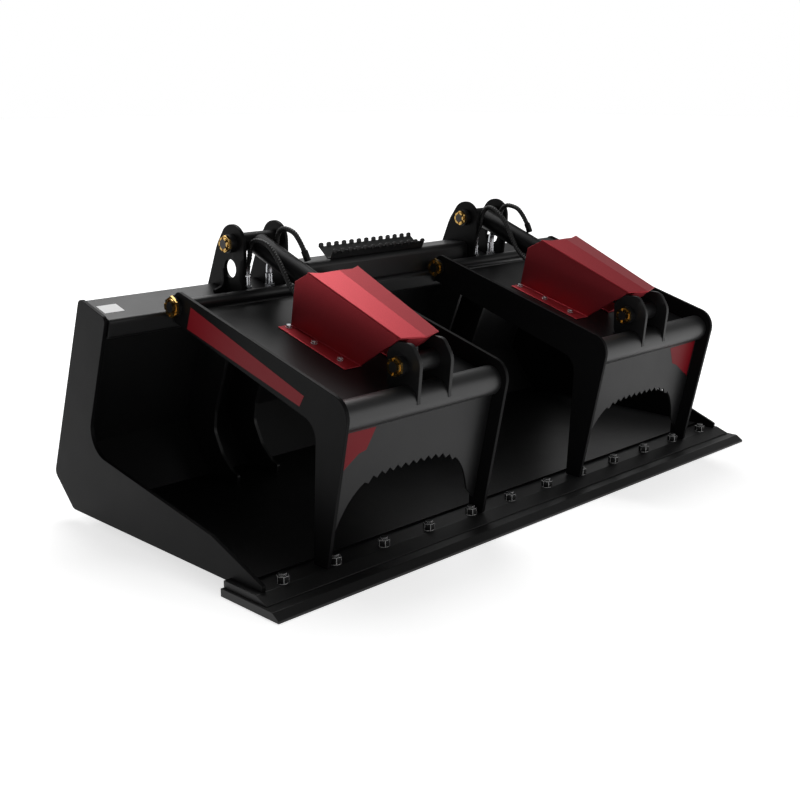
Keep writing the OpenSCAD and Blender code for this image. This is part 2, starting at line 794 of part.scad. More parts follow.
// A flat sheet with the corners p, thickened by the vector v
module slab(p, v) {
    n = len(p);
    up = cross(p[1] - p[0], p[2] - p[0]) * v > 0;
    low = [for (i = [0:n - 1]) i];
    high = [for (i = [n - 1:-1:0]) n + i];
    polyhedron(
        points = concat(p, [for (q = p) q + v]),
        faces = concat(
            [up ? low : [for (i = [n - 1:-1:0]) i]],
            [up ? high : [for (i = [0:n - 1]) n + i]],
            [for (i = [0:n - 1]) let (j = (i + 1) % n)
                up ? [i, n + i, n + j, j] : [j, n + j, n + i, i]]
        )
    );
}
half_sheet = guard_t / 2;
module guard_side(b) {
    drop = [0, -half_sheet];
    rim = concat(
        [guard_rear + drop, guard_front + drop],
        guard_wall_f,
        [skin_pt(guard_u1, skin_top + half_sheet), skin_pt(guard_u0, skin_top + half_sheet), guard_mid]
    );
    slab([for (q = rim) pt(b * wall_x(q), q)], [-b * guard_t, 0, 0]);
    roof = [
        [guard_front_w, guard_front[0]],
        [guard_rear_w, guard_rear[0]],
        kink,
        [0, fold_rear_f],
        [0, fold_front[0]]
    ];
    slab([for (q = roof) pt(b * q[0], [q[1], roof_z(q[0], q[1])])], [0, 0, -guard_t]);
    lip_f = fold_front[0] + (guard_front[0] - fold_front[0]) * flap_w / guard_front_w;
    lip = [
        pt(0, [fold_front[0] - 1, roof_z(0, fold_front[0]) - half_sheet]),
        pt(b * flap_w, [lip_f - 1, roof_z(flap_w, lip_f) - half_sheet])
    ];
    fall = [0, fold_front[0] - flap_low[0], flap_low[1] - fold_front[1]];
    slab([lip[0], lip[1], lip[1] + fall, lip[0] + fall], [0, guard_t, 0]);
    slab([
        pt(b * (guard_base_w - guard_t), skin_pt(guard_u0, skin_top)),
        pt(b * guard_flange_w, skin_pt(guard_u0, skin_top)),
        pt(b * guard_flange_w, skin_pt(guard_u1, skin_top)),
        pt(b * (wall_x(skin_pt(guard_u1, skin_top)) - guard_t), skin_pt(guard_u1, skin_top))
    ], guard_t * concat([0], [-skin_w[0], skin_w[1]]));
}
module guard(s) {
    difference() {
        translate([s * tower_c, 0, 0]) {
            guard_side(-1);
            guard_side(1);
        }
        guard_holes(s);
    }
}
module guard_holes(s) {
    for (b = [-1, 1], u = guard_bolt_u)
        on_skin(s * tower_c + b * guard_bolt_w, u)
        cylinder(h = 60, r = bolt_r + 0.4, center = true, $fn = 32);
}
// Moves children onto the top sheet at x, u along it, with Z out of it
module on_skin(x, u) {
    translate([x, y_mid - skin_pt(u, skin_top)[0], skin_pt(u, skin_top)[1]])
    rotate([-skin_a, 0, 0])
    children();
}
module left_guard() color("firebrick") guard(-1);
module right_guard() color("firebrick") guard(1);
bolt_head_h = 7.5;
bolt_af = 19;
module guard_bolts(s) {
    for (b = [-1, 1], u = guard_bolt_u)
        on_skin(s * tower_c + b * guard_bolt_w, u) {
            translate([0, 0, guard_t]) cylinder(h = bolt_head_h, r = bolt_af / sqrt(3), $fn = 6);
            translate([0, 0, -skin_t - 12])
            cylinder(h = 12 + skin_t + guard_t + 1, r = bolt_r, $fn = 32);
            translate([0, 0, -skin_t - 9])
            cylinder(h = 9, r = bolt_af / sqrt(3), $fn = 6);
        }
}
module left_guard_bolts() color("silver") guard_bolts(-1);
module right_guard_bolts() color("silver") guard_bolts(1);

// Cylinders

gland_l = 34;
gland_d = 50;
base_eye_d = 48;
base_eye_gap = 0.5;
base_eye_w = tower_gap - 2 * base_eye_gap;
barrel_root = 20;
bore_tail = 52;
port_x = 46;
port_r = 12;
port_near = 95;
port_back = 28;
port_far = barrel_len - port_back;
module barrel(s) {
    difference() {
        union() {
            on_cylinder(s)
            translate([0, 0, port_near])
            rotate([0, 90, 0])
            cylinder(h = port_x, r = port_r, $fn = 48);
            on_cylinder(s)
            translate([0, 0, port_far])
            rotate([0, -90, 0])
            cylinder(h = port_x, r = port_r, $fn = 48);
            on_cylinder(s) translate([0, 0, barrel_root])
            cylinder(h = barrel_len - barrel_root, r = barrel_d / 2, $fn = 72);
            xbar(s * tower_c - base_eye_w / 2, s * tower_c + base_eye_w / 2, tower_p, base_eye_d / 2);
        }
        on_cylinder(s) translate([0, 0, bore_tail])
        cylinder(h = barrel_len, r = barrel_bore / 2, $fn = 72);
        xbar(-body_half, body_half, tower_p, pin_r + run_gap);
    }
}
module left_barrel() color("dimgray") barrel(-1);
module right_barrel() color("dimgray") barrel(1);
module gland(s) {
    on_cylinder(s)
    difference() {
        union() {
            translate([0, 0, barrel_len - gland_l])
            cylinder(h = gland_l, r = barrel_bore / 2 - seat_gap, $fn = 72);
            translate([0, 0, barrel_len])
            cylinder(h = 6, r = gland_d / 2 + 2, $fn = 72);
        }
        translate([0, 0, barrel_len - gland_l - eps])
        cylinder(h = gland_l + 10, r = rod_d / 2 + run_gap, $fn = 72);
    }
}
module left_gland() color("dimgray") gland(-1);
module right_gland() color("dimgray") gland(1);
piston_l = 38;
piston_at = 205;
rod_end = cyl_len - eye_d / 2 - rod_gap;
module rod(s) {
    on_cylinder(s) {
        translate([0, 0, piston_at])
        cylinder(h = piston_l, r = barrel_bore / 2 - run_gap, $fn = 72);
        translate([0, 0, piston_at])
        cylinder(h = rod_end - piston_at, r = rod_d / 2, $fn = 72);
    }
}
module left_rod() color("silver") rod(-1);
module right_rod() color("silver") rod(1);

// Hoses and their fittings

hose_r = hose_d / 2;
hose_sides = 10;
fit_f = -40;
fit_x = 37;
fit_top = 606;
fit_r = 10;
module port_fittings() color("silver") {
    difference() {
        for (s = [-1, 1], b = [-1, 1])
            translate([s * tower_c + b * fit_x, y_mid - fit_f, 540]) {
                cylinder(h = fit_top - 540, r = fit_r, $fn = 48);
                translate([0, 0, 24]) cylinder(h = 16, r = 13, $fn = 6);
            }
        beam_solid(-body_half, body_half);
    }
}
// Smooth curve through the points p
function blend4(a, b, c, d, t) = 0.5 * ((2 * b) + (c - a) * t
    + (2 * a - 5 * b + 4 * c - d) * t * t + (3 * b - a - 3 * c + d) * t * t * t);
function clamp(i, n) = max(0, min(n - 1, i));
function smooth(p, k = 3) = concat(
    [for (i = [0:len(p) - 2], j = [0:k - 1])
        blend4(p[clamp(i - 1, len(p))], p[i], p[i + 1], p[clamp(i + 2, len(p))], j / k)],
    [p[len(p) - 1]]
);
function tangent(q, i) = unit(q[clamp(i + 1, len(q))] - q[clamp(i - 1, len(q))]);
module hose(path) {
    q = smooth(path);
    n = len(q);
    rings = [
        for (i = [0:n - 1])
            let (t = tangent(q, i))
            let (a = unit(cross(t, [0, 0.3, 1])), b = cross(t, a))
            for (k = [0:hose_sides - 1])
                q[i] + hose_r * (cos(360 * k / hose_sides) * a + sin(360 * k / hose_sides) * b)
    ];
    polyhedron(
        points = rings,
        faces = concat(
            [[for (k = [0:hose_sides - 1]) k]],
            [[for (k = [hose_sides - 1:-1:0]) (n - 1) * hose_sides + k]],
            [for (i = [0:n - 2], k = [0:hose_sides - 1])
                let (m = (k + 1) % hose_sides)
                [i * hose_sides + k, (i + 1) * hose_sides + k, (i + 1) * hose_sides + m, i * hose_sides + m]]
        )
    );
}
// The points are (x from the cylinder's middle plane, f, z)
near_path = [
    [37, -40, 607], [37, -37, 630], [37, -22, 656], [37, -8, 682], [37, -2, 704],
    [37, 8, 721], [37, 24, 729], [37, 44, 727], [37, 66, 719], [37, 83, 704],
    [38, 96, 686], [40, 105, 668], [44, 109, 650]
];
far_left_path = [
    [-37, -40, 607], [-37, -38, 628], [-37, -27, 652], [-37, -21, 680], [-37, -7, 697],
    [-37, 15, 701], [-37, 40, 697], [-37, 58, 689], [-38, 80, 671], [-40, 101, 652],
    [-44, 122, 630], [-46, 142, 606], [-47, 166, 586], [-47, 200, 570], [-46, 235, 561],
    [-46, 268, 556]
];
far_right_path = [
    [-37, -40, 607], [-37, -36, 634], [-37, -21, 668], [-37, -12, 700], [-37, 2, 720],
    [-37, 20, 725], [-37, 48, 713], [-38, 78, 688], [-41, 104, 652], [-45, 130, 617],
    [-46, 152, 596], [-47, 176, 582], [-47, 206, 569], [-46, 238, 560], [-46, 268, 556]
];
module hose_pair(s, far) {
    for (p = [near_path, far])
        hose([for (q = p) [s * tower_c + q[0], y_mid - q[1], q[2]]]);
}
module left_hoses() color("black") hose_pair(-1, far_left_path);
module right_hoses() color("black") hose_pair(1, far_right_path);

left_end_plate();
right_end_plate();
bucket_shell();
top_beam();
base_edge();
bolt_on_edge();
edge_bolts();
wear_straps();
back_ribs();
upper_rail();
step_tread();
coupler_plate();
left_tower_outer();
left_tower_inner();
right_tower_inner();
right_tower_outer();
tower_gussets();
tower_bosses();
left_tower_pin();
right_tower_pin();
tower_nuts();
left_pivot_shaft();
right_pivot_shaft();
pivot_lugs();
pivot_nuts();
left_jaw_outer_plate();
left_jaw_inner_plate();
right_jaw_inner_plate();
right_jaw_outer_plate();
left_jaw_bosses();
right_jaw_bosses();
left_top_skin();
right_top_skin();
left_front_skin();
right_front_skin();
left_front_tube();
right_front_tube();
left_clevis_ears();
right_clevis_ears();
left_clevis_bosses();
right_clevis_bosses();
left_clevis_pin();
right_clevis_pin();
left_clevis_nuts();
right_clevis_nuts();
left_rod_eye();
right_rod_eye();
left_guard();
right_guard();
left_guard_bolts();
right_guard_bolts();
left_barrel();
right_barrel();
left_gland();
right_gland();
left_rod();
right_rod();
port_fittings();
left_hoses();
right_hoses();
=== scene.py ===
# %% [markdown]
# # Scrap grapple
# A wide steel bucket with two upper jaws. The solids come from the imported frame: each one is
# a plate, a tube, a pin or a folded sheet of the real part. This script dresses them with
# finishes, rounds their sheared edges, runs the hoses and sets the studio round them.

import json
import math

import bmesh
import bpy
from mathutils import Euler, Matrix, Vector
from mathutils.bvhtree import BVHTree


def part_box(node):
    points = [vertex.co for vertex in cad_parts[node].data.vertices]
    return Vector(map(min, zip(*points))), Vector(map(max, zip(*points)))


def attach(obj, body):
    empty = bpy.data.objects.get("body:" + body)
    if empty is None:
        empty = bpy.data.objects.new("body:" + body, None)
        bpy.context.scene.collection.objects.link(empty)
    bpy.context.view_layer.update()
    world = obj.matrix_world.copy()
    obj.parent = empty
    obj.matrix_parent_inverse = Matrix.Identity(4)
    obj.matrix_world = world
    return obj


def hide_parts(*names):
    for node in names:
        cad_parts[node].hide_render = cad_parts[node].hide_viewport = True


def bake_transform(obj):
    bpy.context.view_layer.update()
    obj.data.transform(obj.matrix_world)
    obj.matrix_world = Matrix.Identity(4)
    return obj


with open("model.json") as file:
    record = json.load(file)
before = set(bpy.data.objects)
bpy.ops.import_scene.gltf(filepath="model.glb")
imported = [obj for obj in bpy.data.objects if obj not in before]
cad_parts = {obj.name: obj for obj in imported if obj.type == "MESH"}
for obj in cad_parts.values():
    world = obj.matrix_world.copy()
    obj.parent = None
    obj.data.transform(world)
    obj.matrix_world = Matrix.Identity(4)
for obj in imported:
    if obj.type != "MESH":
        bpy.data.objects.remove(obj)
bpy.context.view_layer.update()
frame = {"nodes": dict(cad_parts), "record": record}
nodes = frame["nodes"]

# %% [markdown]
# ## The side view's own coordinates
# The part is drawn from the side: f is the distance ahead of the jaws' hinge and z the
# height. The mouth faces -Y, so a larger f means a smaller Y. The hinge is found from the
# frame's own solids, so the scene follows them if they move.

# %% Side view coordinates
shaft_low, shaft_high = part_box("left_pivot_shaft")
HINGE_Y = (shaft_low.y + shaft_high.y) / 2
HINGE_Z = (shaft_low.z + shaft_high.z) / 2
MM = 0.001
SIDES = {"left": -1, "right": 1}


def at(x_mm, f_mm, z_mm):
    """A point of the side view as a place in the row frame, in metres."""
    return Vector((x_mm * MM, HINGE_Y - f_mm * MM, z_mm * MM))


body_of_node = {
    n: b for b, members in frame["record"]["behaviour"]["bodies"].items() for n in members
}
print("hinge at y", round(HINGE_Y, 4), "z", round(HINGE_Z, 4))

# %% [markdown]
# ## Camera
# The photo was taken from the front left, a little above. Its place and its lens were worked
# out from the even spacing of the edge bolts, so the view lines up with the photo.

# %% Camera
CAMERA_PLACE = Vector((-2.3456, -2.27051, 1.0714))
CAMERA_LOOK = Vector((0.68035, 0.68798, -0.25259))
CAMERA_ROLL = math.radians(-0.12)
CAMERA_LENS = 53.51
camera_data = bpy.data.cameras.new("camera")
camera_data.lens = CAMERA_LENS
camera_data.sensor_width = 36
camera = bpy.data.objects.new("camera", camera_data)
bpy.context.scene.collection.objects.link(camera)
camera.location = CAMERA_PLACE
camera.rotation_euler = (
    CAMERA_LOOK.to_track_quat("-Z", "Y").to_matrix().to_4x4() @ Matrix.Rotation(CAMERA_ROLL, 4, "Z")
).to_euler()
bpy.context.scene.camera = camera
print("camera", tuple(round(v, 3) for v in camera.location), "lens", camera_data.lens)

# %% [markdown]
# ## Finishes
# All plates, tubes and barrels but the guards are covered in satin black powder coat. It is
# thick paint baked on as powder, so it has a faint orange peel. It could be a plain dark
# shader, but fine noise in the bump and slow noise in the roughness give its highlights a
# broken edge. The one coat is split into lit and shaded copies: the upright plates, the
# barrels and the top sheets get darker copies with less shine, as painted shade, and the
# round tubes get a brighter, shinier one, as painted sheen.


# %% Helper for a finish
PEEL_DEPTH = 0.2 * MM
CLOUD_SCALE = 14


def finish(name, colour, rough, metal=0.0, specular=0.5, peel=0.0, peel_scale=900.0, spread=0.0):
    """A paint or metal: its colour and gloss, a fine bump (peel) and a slow change of gloss (spread)."""
    material = bpy.data.materials.new(name)
    material.use_nodes = True
    tree = material.node_tree
    shader = tree.nodes["Principled BSDF"]
    shader.inputs["Base Color"].default_value = (*colour, 1)
    shader.inputs["Roughness"].default_value = rough
    shader.inputs["Metallic"].default_value = metal
    shader.inputs["Specular IOR Level"].default_value = specular
    place = tree.nodes.new("ShaderNodeTexCoord")
    if peel:
        noise = tree.nodes.new("ShaderNodeTexNoise")
        noise.inputs["Scale"].default_value = peel_scale
        noise.inputs["Detail"].default_value = 3
        bump = tree.nodes.new("ShaderNodeBump")
        bump.inputs["Strength"].default_value = peel
        bump.inputs["Distance"].default_value = PEEL_DEPTH
        tree.links.new(place.outputs["Object"], noise.inputs["Vector"])
        tree.links.new(noise.outputs["Fac"], bump.inputs["Height"])
        tree.links.new(bump.outputs["Normal"], shader.inputs["Normal"])
    if spread:
        clouds = tree.nodes.new("ShaderNodeTexNoise")
        clouds.inputs["Scale"].default_value = CLOUD_SCALE
        clouds.inputs["Detail"].default_value = 4
        gloss = tree.nodes.new("ShaderNodeMapRange")
        gloss.inputs["To Min"].default_value = rough - spread
        gloss.inputs["To Max"].default_value = rough + spread
        tree.links.new(place.outputs["Object"], clouds.inputs["Vector"])
        tree.links.new(clouds.outputs["Fac"], gloss.inputs["Value"])
        tree.links.new(gloss.outputs["Result"], shader.inputs["Roughness"])
    print("finish", name, "roughness", rough)
    return material, shader, tree


# %% Black powder coat
black_coat, _, _ = finish(
    "black powder coat", (0.0042, 0.0042, 0.0045), 0.4, specular=0.3, peel=0.12, spread=0.05
)
# A copy of the same coat, darker and with little shine: painted shade on the upright plates and the
# barrels.
painted_shade_side_coat, _, _ = finish(
    "black powder coat on side plates and barrels",
    (0.003, 0.003, 0.0032),
    0.42,
    specular=0.06,
    peel=0.12,
    spread=0.05,
)
# A copy of the same coat, a little darker and with less shine: painted shade on the top sheets, the edge
# nuts and the near hoses' upper sleeves.
painted_shade_top_coat, _, _ = finish(
    "black powder coat on top sheets and nuts",
    (0.0036, 0.0036, 0.0038),
    0.42,
    specular=0.13,
    peel=0.1,
    spread=0.04,
)
edge_coat, _, _ = finish(
    "black paint on the cutting edges",
    (0.0048, 0.0048, 0.005),
    0.46,
    specular=0.3,
    peel=0.2,
    spread=0.06,
)
# A copy of the same coat, lighter and much shinier: painted sheen on the round cross tubes.
painted_sheen_tube_coat, _, _ = finish(
    "black powder coat on the cross tubes",
    (0.006, 0.006, 0.0063),
    0.4,
    specular=0.6,
    peel=0.1,
    spread=0.04,
)

# %% [markdown]
# ## Metallic red
# The guards are painted a deep metallic red. Under the clear coat lie small metal flakes,
# each at its own tilt, which is why the paint is bright where it faces the light and almost
# black where it turns away. A Voronoi texture gives each flake its own cell, and the cell's
# random value stirs the brightness a little.

# %% Metallic red
FLAKE_SCALE = 1500
guard_red, red_shader, red_tree = finish(
    "metallic red paint", (0.42, 0.045, 0.058), 0.52, metal=1.0, specular=0.2, peel=0.05
)
red_shader.inputs["Coat Weight"].default_value = 0.03
red_shader.inputs["Coat Roughness"].default_value = 0.18
red_place = red_tree.nodes.new("ShaderNodeTexCoord")
flakes = red_tree.nodes.new("ShaderNodeTexVoronoi")
flakes.inputs["Scale"].default_value = FLAKE_SCALE
flake_mix = red_tree.nodes.new("ShaderNodeMix")
flake_mix.data_type = "RGBA"
flake_mix.inputs["A"].default_value = (0.36, 0.038, 0.048, 1)
flake_mix.inputs["B"].default_value = (0.50, 0.056, 0.070, 1)
red_tree.links.new(red_place.outputs["Object"], flakes.inputs["Vector"])
red_tree.links.new(flakes.outputs["Color"], flake_mix.inputs["Factor"])
red_tree.links.new(flake_mix.outputs["Result"], red_shader.inputs["Base Color"])

# %% [markdown]
# ## Plated and bare metal
# The castle nuts are yellow zinc plated, which gives them a gold colour. The pins are oiled
# steel, nearly black. The fittings and the guards' small bolts are bright zinc, and the rods
# are hard chrome. A metal has no colour but that of its reflections, so these shaders are
# metallic, and the gloss of the two platings changes slowly from place to place.

# %% Plated and bare metal
yellow_zinc, _, _ = finish(
    "yellow zinc plate", (0.46, 0.29, 0.09), 0.22, metal=1.0, peel=0.08, spread=0.08
)
bright_zinc, _, _ = finish(
    "bright zinc plate", (0.46, 0.47, 0.49), 0.24, metal=1.0, peel=0.05, spread=0.06
)
dark_steel, _, _ = finish("oiled steel", (0.035, 0.032, 0.03), 0.36, metal=0.8, peel=0.05)
chrome, _, _ = finish("hard chrome", (0.62, 0.63, 0.65), 0.12, metal=1.0)

# %% [markdown]
# ## Rubber and film
# The hoses' rubber cover is duller and rougher than the paint, so its bump is stronger and
# finer. The films on the jaws and on the beam are smooth plastic, with no bump at all.

# %% Rubber and film
hose_cover, _, _ = finish(
    "hose cover", (0.005, 0.005, 0.005), 0.45, specular=0.3, peel=0.3, peel_scale=1800
)
film_red, _, _ = finish("red film", (0.14, 0.003, 0.007), 0.45, specular=0.15, spread=0.04)
film_white, _, _ = finish("white film", (0.78, 0.78, 0.78), 0.4, specular=0.4)

# %% [markdown]
# ## Sheared and bent plate
# The frame's solids have perfectly sharp edges. A real plate's edges are broken by the torch
# and the grinder, and they catch a thin line of light that tells the eye how thick the
# plate is. Each plate is copied, its loose triangles are joined into whole faces, and a
# small bevel is cut along its sharp edges. The copy then stands for the solid. Large faces
# are shaded flat and only the narrow ones smooth, because a smooth bevel beside a large
# face would draw its shading out over the whole face. A turned piece is smooth all round.


# %% Rounding a plate's edges
MERGE_WITHIN = 2e-6
SAME_PLANE = math.radians(0.4)
LARGE_FACE = 0.0015
SHARP_FROM = math.radians(25)


def softened(node, material, width_mm, angle=28, reshape=None, turned=False):
    """Put a copy with rounded edges in a solid's place, on the same body."""
    mesh = nodes[node].data.copy()
    work = bmesh.new()
    work.from_mesh(mesh)
    bmesh.ops.remove_doubles(work, verts=work.verts, dist=MERGE_WITHIN)
    bmesh.ops.dissolve_limit(work, angle_limit=SAME_PLANE, verts=work.verts, edges=work.edges)
    if reshape:
        reshape(work, node)
    sharp = [
        e
        for e in work.edges
        if len(e.link_faces) == 2 and e.calc_face_angle(0) > math.radians(angle)
    ]
    bmesh.ops.bevel(
        work,
        geom=sharp,
        offset=width_mm * MM,
        offset_type="OFFSET",
        segments=2,
        profile=0.5,
        affect="EDGES",
        clamp_overlap=False,
    )
    for f in work.faces:
        f.smooth = turned or f.calc_area() < LARGE_FACE
    bmesh.ops.triangulate(work, faces=[f for f in work.faces if len(f.verts) > 4])
    work.to_mesh(mesh)
    work.free()
    mesh.materials.clear()
    mesh.materials.append(material)
    smooth = [p.use_smooth for p in mesh.polygons]
    mesh.set_sharp_from_angle(angle=SHARP_FROM)
    mesh.polygons.foreach_set("use_smooth", smooth)
    piece = bpy.data.objects.new(node + "_rounded", mesh)
    bpy.context.scene.collection.objects.link(piece)
    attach(piece, body_of_node[node])
    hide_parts(node)


# %% [markdown]
# ## The towers' inner plates
# Each tower's solids have a hole for the hoses in both plates. The real tower has it in the
# outer plate only, so in the inner one the hole's wall is deleted and both rims are filled.

# %% Closing a hole
HOLE_PLACE = (-62, 627)
HOLE_RADIUS = 24
WALL_WITHIN = 0.4
WALL_TILT = 0.2


def close_hole(work, node):
    """Fill the hose hole of a tower's inner plate."""
    middle = at(0, *HOLE_PLACE)
    wall = [
        f
        for f in work.faces
        if abs(f.normal.x) < WALL_TILT
        and all(
            abs(math.hypot(v.co.y - middle.y, v.co.z - middle.z) / MM - HOLE_RADIUS) < WALL_WITHIN
            for v in f.verts
        )
    ]
    bmesh.ops.delete(work, geom=wall, context="FACES")
    rim = [e for e in work.edges if len(e.link_faces) == 1]
    bmesh.ops.holes_fill(work, edges=rim, sides=0)
    bmesh.ops.recalc_face_normals(work, faces=work.faces)
    print("closed the hole of", node, "wall faces", len(wall))


# %% [markdown]
# ## The barrels' rear ports
# A hydraulic cylinder has one port at each end of its barrel, and a hose screws into each.
# The short hose of each barrel ends some 70 mm ahead of its port, so the port slides along
# the barrel to meet it. The barrel's pivot and its line are those of the frame's joints.

# %% Moving a port
PORT_PLACE, PORT_SHIFT, PORT_REACH = 95, 68, 13
joint_of = {j["name"]: j for j in frame["record"]["behaviour"]["joints"]}
BARREL_PIVOT = Vector(joint_of["left_barrel_hinge"]["pos_m"])
BARREL_WAY = Vector(joint_of["left_rod_slide"]["axis"])
print("barrels slope", round(math.degrees(math.asin(-BARREL_WAY.z)), 2), "degrees")


def move_port(work, node):
    """Slide the rear port along the barrel to where its hose ends."""
    moved = 0
    for v in work.verts:
        reach = (v.co - BARREL_PIVOT).dot(BARREL_WAY) / MM
        if abs(reach - PORT_PLACE) < PORT_REACH:
            v.co += BARREL_WAY * (PORT_SHIFT * MM)
            moved += 1
    print("moved the port of", node, "vertices", moved)


# %% [markdown]
# ## The toothed arch
# Each front sheet has an arch cut into its lower edge, with teeth along its crown to grip a
# log. The solid's arch is half an ellipse. The real one has a flatter crown and steeper,
# closer feet, which a superellipse gives: the points of the edge are squeezed towards the
# middle past the straight part, and then raised or lowered to the new curve.

# %% Reshaping the arch
LEG_TOP = (619.5, 429.6)
LEG_WAY = (-0.19808, -0.98018)
LEG_LENGTH = 401.35
JAW_CENTRE = 461.5
ARCH_HALF, ARCH_RISE = 252, 190
ARCH_FOOT, ARCH_TOP, ARCH_STRAIGHT = 230, 193, 150
ARCH_SQUARENESS, ARCH_SHOULDER = 4, 2 / 3
FOOT_HEIGHT = 31
EDGE_MARGIN = 2.5
CROWN_MARGIN = 2


def widen_arch(work, node):
    """Give the toothed arch the real sheet's flatter crown and steeper, closer feet."""
    middle = SIDES[node.split("_")[0]] * JAW_CENTRE
    top = at(0, *LEG_TOP)
    down = Vector((0, -LEG_WAY[0], LEG_WAY[1]))
    squeeze = (ARCH_FOOT - ARCH_STRAIGHT) / (ARCH_HALF - ARCH_STRAIGHT)
    moved = 0
    for v in work.verts:
        x = v.co.x / MM - middle
        height = LEG_LENGTH - Vector((0, v.co.y - top.y, v.co.z - top.z)).dot(down) / MM
        if abs(x) > ARCH_HALF - EDGE_MARGIN or not 0 < height < ARCH_RISE + CROWN_MARGIN:
            continue
        old = ARCH_RISE * math.sqrt(1 - (x / ARCH_HALF) ** 2)
        away = max(0.0, abs(x) - ARCH_STRAIGHT)
        new_x = math.copysign(abs(x) - away * (1 - squeeze), x)
        new = ARCH_TOP * (1 - (new_x / ARCH_FOOT) ** ARCH_SQUARENESS) ** ARCH_SHOULDER
        v.co.x = (middle + new_x) * MM
        if height > FOOT_HEIGHT:
            v.co -= down * ((max(new, FOOT_HEIGHT) - old) * MM)
        moved += 1
    print("reshaped the arch of", node, "vertices", moved)


# %% [markdown]
# ## The step tread's teeth
# The tread on the rail is a trough whose two rims are cut into teeth, to give a boot a grip.
# The solid's teeth are too tall. What stands above each rim is pressed down by one share,
# which keeps the teeth's shape and lets their roots stay where they are.

# %% Lowering the teeth
TREAD_REAR_RIM, TREAD_FRONT_RIM, TREAD_MIDDLE = 650, 642, -72
TREAD_SHARE = 0.55


def lower_teeth(work, node):
    """Shorten the teeth on both rims of the tread."""
    moved = 0
    for v in work.verts:
        rear = v.co.y > at(0, TREAD_MIDDLE, 0).y
        rim = (TREAD_REAR_RIM if rear else TREAD_FRONT_RIM) * MM
        if v.co.z > rim:
            v.co.z = rim + (v.co.z - rim) * TREAD_SHARE
            moved += 1
    print("lowered the teeth of", node, "vertices", moved)


# %% [markdown]
# ## Which solids are rounded
# Plates and folded sheets all get the same narrow round. The cutting edges are bevelled bars
# with shallow corners, and the guards are sheet with shallow folds, so there an edge counts
# from a smaller angle, and a guard's folds get a wider round.

# %% Plates of the bucket and the jaws
RESHAPES = {
    "tower_inner": close_hole,
    "front_skin": widen_arch,
    "step_tread": lower_teeth,
}
# Upright plates and towers get the darker, low-shine copy of the black coat, and the top sheets the less
# shiny one: painted shade.
PAINTED_SHADE_COATS = {
    "end_plate": painted_shade_side_coat,
    "tower": painted_shade_side_coat,
    "jaw_outer_plate": painted_shade_side_coat,
    "jaw_inner_plate": painted_shade_side_coat,
    "top_skin": painted_shade_top_coat,
}
PLATE_WORDS = (
    "end_plate",
    "jaw_outer_plate",
    "jaw_inner_plate",
    "top_skin",
    "front_skin",
    "clevis_ears",
    "tower_outer",
    "tower_inner",
    "tower_gussets",
    "back_ribs",
    "upper_rail",
    "coupler_plate",
    "wear_straps",
    "pivot_lugs",
    "step_tread",
)
rounded_count = 0
for name in sorted(nodes):
    if any(w in name for w in PLATE_WORDS):
        hook = next((RESHAPES[w] for w in RESHAPES if w in name), None)
        coat = next((PAINTED_SHADE_COATS[w] for w in PAINTED_SHADE_COATS if w in name), black_coat)
        softened(name, coat, 1.0, reshape=hook)
        rounded_count += 1
    elif name.endswith("_barrel"):
        # The barrels get the darker, low-shine copy of the coat: painted shade.
        softened(name, painted_shade_side_coat, 0.6, angle=35, reshape=move_port, turned=True)
        rounded_count += 1
    elif name in ("base_edge", "bolt_on_edge"):
        softened(name, edge_coat, 0.8, angle=15)
        rounded_count += 1
    elif name.endswith("_guard"):
        softened(name, guard_red, 1.4, angle=12)
        rounded_count += 1
print("rounded plates:", rounded_count)

# %% [markdown]
# ## The other solids
# Tubes, pins, nuts, rods and the bucket's sheet already have the right shape, so they stay,
# and only get their finish. It is chosen by the material slot that the frame's record names.

# %% Paint the solids that stay
STAYS = {
    "yellow_zinc": yellow_zinc,
    "bright_zinc": bright_zinc,
    "rod_steel": chrome,
    "hose_rubber": hose_cover,
    "guard_red": guard_red,
    "black_paint": black_coat,
}
slot_of = {s["node"]: s["material_slot"] for s in frame["record"]["subparts"]}


def own_finish(name):
    """The finish of a solid that stays: its slot's, but for the dark pins, and for the tubes, whose
    brighter, shinier coat is painted sheen.
    """
    if name.endswith("_pin"):
        return dark_steel
    # The tubes get the brighter, shinier copy of the coat: painted sheen.
    if name.endswith("_front_tube"):
        return painted_sheen_tube_coat
    return STAYS[slot_of[name]]


for name, solid in nodes.items():
    solid.data.materials.clear()
    solid.data.materials.append(own_finish(name))
print("painted solids:", len(nodes))

# %% [markdown]
# ## Pieces grown by rules
# Bolts come in rows, threads wind round a shank and a hose follows a path. Such pieces could
# be modelled one by one, but a rule is shorter and stays even: each rule below is a Geometry
# Nodes tree with named inputs. The result is turned into a plain mesh for each body, because
# a body moves its mesh as one rigid piece.


# %% Helpers for the rules
def rule(name, inputs):
    """An empty tree with a geometry input and output and the named inputs (kind, value)."""
    tree = bpy.data.node_groups.new(name, "GeometryNodeTree")
    tree.interface.new_socket("Geometry", in_out="INPUT", socket_type="NodeSocketGeometry")
    for label, (kind, value) in inputs.items():
        socket = tree.interface.new_socket(label, in_out="INPUT", socket_type="NodeSocket" + kind)
        if value is not None:
            socket.default_value = value
    tree.interface.new_socket("Geometry", in_out="OUTPUT", socket_type="NodeSocketGeometry")
    return tree, tree.nodes.new("NodeGroupInput"), tree.nodes.new("NodeGroupOutput")


def put(tree, kind, links=None, **settings):
    """Add a node, set its properties, and give its inputs a value or a link."""
    node = tree.nodes.new(kind)
    for key, value in settings.items():
        setattr(node, key, value)
    for key, value in (links or {}).items():
        if isinstance(value, bpy.types.NodeSocket):
            tree.links.new(value, node.inputs[key])
        else:
            node.inputs[key].default_value = value
    return node


